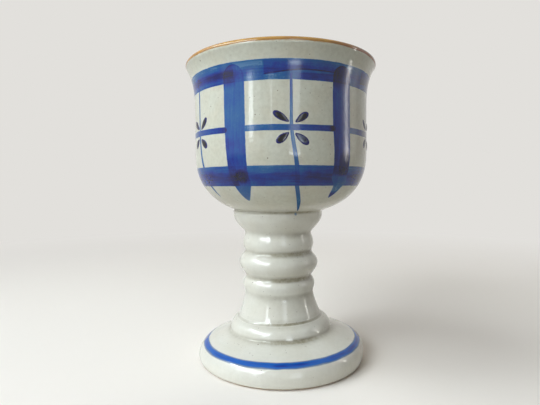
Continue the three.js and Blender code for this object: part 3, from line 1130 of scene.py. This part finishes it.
class GOBLET_OT_slip_joints(bpy.types.Operator):
    """Builds the two rings of glazed slip that lute the parts together"""

    bl_idname = "goblet.slip_joints"
    bl_label = "Slip joints"

    def execute(self, context):
        settings = context.scene.goblet
        sizes = settings.sizes
        material = plain_material("glazed_slip", settings.colours)
        stem = stem_outline(sizes)[0]
        stem = stem[: stem[:, 1].argmax() + 1]
        foot = foot_outline(sizes)[0]
        foot = foot[: foot[:, 1].argmax() + 1]
        bowl = bowl_outline(sizes)[0]
        bowl = bowl[bowl[:, 0] > sizes.seat_radius - 0.6 * MM]
        joints = {
            "foot_joint_slip": (foot, stem, (1.3 * MM, 1.1 * MM), sizes.mouths[0]),
            "bowl_joint_slip": (stem, bowl, (1.7 * MM, 1.6 * MM), sizes.mouths[1]),
        }
        for node, (below, above, reaches, inner) in joints.items():
            outline, pool = joint_outline(below, above, reaches, inner)
            name = node.replace("_slip", "")
            rows = {"pool": pool}
            turned_piece(name, outline, sizes.columns, material, [node], rows)
        return {"FINISHED"}


class GOBLET_OT_lip(bpy.types.Operator):
    """Builds the honey glaze over the lip, with an uneven lower edge"""

    bl_idname = "goblet.lip"
    bl_label = "Honey lip"

    def execute(self, context):
        settings = context.scene.goblet
        sizes = settings.sizes
        _, (centre, radius, lean) = bowl_outline(sizes)
        columns = sizes.columns
        azimuth = np.linspace(-np.pi, np.pi, columns, endpoint=False)[None, :]
        share = np.linspace(0, 1, 25)[:, None]
        waves = 0.06 * np.sin(3 * azimuth + 0.7) + 0.05 * np.sin(16 * azimuth)
        start_angle = 0.38 * np.cos(azimuth) - 0.12 * np.sin(azimuth) - 0.38 + waves
        end_angle = math.pi - lean + 0.1 - waves
        angle = start_angle + (end_angle - start_angle) * share
        coat = np.sin(np.pi * share) ** 0.7 + 0 * angle
        sunk = 0.12 * MM
        outer_reach = radius - sunk * (1 - coat) ** 3 + sizes.honey_thickness * coat * 0.9
        inner_reach = radius - sunk - 0 * angle
        reach = np.concatenate([outer_reach, inner_reach[::-1]])
        angle = np.concatenate([angle, angle[::-1]])
        radii = centre[0] + reach * np.cos(angle)
        heights = centre[1] + reach * np.sin(angle)
        points = thrown_place(azimuth, radii, heights)
        faces = closed_faces(len(points), columns, False)[1]
        honey = honey_material(settings.colours)
        pool = {"pool": np.concatenate([coat, coat[::-1]])}
        new_piece("honey_lip", points, faces, honey, ["lip_glaze"], {}, pool)
        return {"FINISHED"}


class GOBLET_OT_petals(bpy.types.Operator):
    """Builds the raised dark petals of every flower"""

    bl_idname = "goblet.petals"
    bl_label = "Petals"

    def execute(self, context):
        settings = context.scene.goblet
        brush = settings.brush
        surface = settings.sizes.belly_radius
        # Inner end, outer end and width of each petal, in millimetres from the flower's middle
        strokes = [
            ((-0.6, 2.2), (-7.3, 6.6), 3.0),
            ((2.0, 2.0), (7.6, 6.1), 3.0),
            ((-0.6, -2.1), (-5.9, -6.4), 3.2),
            ((1.9, -2.4), (7.9, -7.0), 3.2),
        ]
        # The painter's hand varies each petal, but the flower that faces the camera was measured
        random = np.random.default_rng(7)
        measured_flower = 1
        rings, spokes = 8, 32
        ring = np.linspace(0, 1, rings + 1)[1:, None]
        spoke = np.linspace(0, 2 * np.pi, spokes, endpoint=False)[None, :]
        # Egg outline: as wide as its stroke, and a third wider towards the outer end
        along = ring * np.cos(spoke)
        across = ring * np.sin(spoke) * (1 + 0.32 * along) * (1 - 0.10 * along**2)
        # Each petal runs from its middle underneath out to the rim, and back over the top
        top = surface + brush.petal_lift * (1 - ring**2) ** 0.6 - 0.02 * MM + 0 * along
        under = surface - 0.25 * MM
        radii = np.concatenate([under + 0 * along, top[::-1]])
        pole_radii = np.array([under, surface + brush.petal_lift])
        one_rim = np.concatenate([np.repeat([ring, ring[::-1]], spokes), np.zeros(2)])
        one_petal = closed_faces(2 * rings, spokes, True)[1]
        points, faces, rims, thinness = [], [], [], []
        for number, azimuth in enumerate(brush.flower_azimuths):
            for inner, outer, width in strokes:
                jitter = random.normal(0, 0.28, 4) * (number != measured_flower)
                inner = np.array(inner) + jitter[:2]
                outer = np.array(outer) + jitter[2:] * 1.6
                middle, axis = (inner + outer) / 2, (outer - inner) / 2
                side = np.array([-axis[1], axis[0]]) / np.linalg.norm(axis) * width / 2
                flat = middle[:, None, None] + np.multiply.outer(axis, along)
                flat = (flat + np.multiply.outer(side, across)) * MM
                lateral, height = np.concatenate([flat, flat[:, ::-1]], axis=1)
                height = height + brush.middle_height
                shell = thrown_place(azimuth + lateral / surface, radii, height)
                lateral, height = middle[0] * MM, middle[1] * MM + brush.middle_height
                poles = thrown_place(azimuth + lateral / surface, pole_radii, height)
                base = len(points) * len(one_rim)
                faces += [[corner + base for corner in face] for face in one_petal]
                points.append(np.concatenate([shell.reshape(-1, 3), poles]))
                rims.append(one_rim)
                # The front flower's lower right petal is greyed: partly thin paint, partly a painted
                # reflection
                sheen_petal = number == measured_flower and outer[0] > 0 > outer[1]
                worn = 0.75 if sheen_petal else abs(jitter[0]) * 0.6
                thinness.append(np.full(len(one_rim), worn))
        values = {"pool": np.concatenate(rims), "thinness": np.concatenate(thinness)}
        blue = petal_material(settings.colours)
        new_piece("flower_petals", np.concatenate(points), faces, blue, (), {}, values)
        return {"FINISHED"}


class GOBLET_OT_studio(bpy.types.Operator):
    """Builds the floor, the lights and the camera"""

    bl_idname = "goblet.studio"
    bl_label = "Studio"

    def execute(self, context):
        studio = context.scene.goblet.studio
        add_floor(studio)
        add_lights(studio)
        add_world(studio)
        add_camera(studio)
        context.scene.view_settings.view_transform = "Standard"
        return {"FINISHED"}


class GobletSettings(bpy.types.PropertyGroup):
    """All settings of the goblet."""

    sizes: PointerProperty(name="Sizes", description="Thrown sizes", type=ThrownSizes)
    brush: PointerProperty(name="Brushwork", description="Painted strokes", type=BrushSizes)
    colours: PointerProperty(name="Colours", description="Glazes and blues", type=GlazeColours)
    studio: PointerProperty(name="Studio", description="Camera and lights", type=StudioSizes)


OPERATORS = (
    GOBLET_OT_bowl,
    GOBLET_OT_stem,
    GOBLET_OT_foot,
    GOBLET_OT_slip_joints,
    GOBLET_OT_lip,
    GOBLET_OT_petals,
    GOBLET_OT_studio,
)


class GOBLET_PT_panel(bpy.types.Panel):
    """Lists the goblet's pieces and settings"""

    bl_idname = "GOBLET_PT_panel"
    bl_label = "Goblet"
    bl_space_type = "VIEW_3D"
    bl_region_type = "UI"
    bl_category = "Goblet"

    def draw(self, context):
        for operator in OPERATORS:
            self.layout.operator(operator.bl_idname)
        settings = context.scene.goblet
        for group in (settings.sizes, settings.brush, settings.colours, settings.studio):
            box = self.layout.box()
            for name in group.__annotations__:
                box.prop(group, name)


CLASSES = (
    ThrownSizes,
    BrushSizes,
    GlazeColours,
    StudioSizes,
    GobletSettings,
    *OPERATORS,
    GOBLET_PT_panel,
)


def register():
    for cls in CLASSES:
        bpy.utils.register_class(cls)
    bpy.types.Scene.goblet = PointerProperty(type=GobletSettings)


def unregister():
    del bpy.types.Scene.goblet
    for cls in reversed(CLASSES):
        bpy.utils.unregister_class(cls)


def main():
    """Builds every piece and the studio."""
    register()
    bpy.ops.goblet.bowl()
    bpy.ops.goblet.stem()
    bpy.ops.goblet.foot()
    bpy.ops.goblet.slip_joints()
    bpy.ops.goblet.lip()
    bpy.ops.goblet.petals()
    bpy.ops.goblet.studio()


if __name__ == "__main__":
    main()
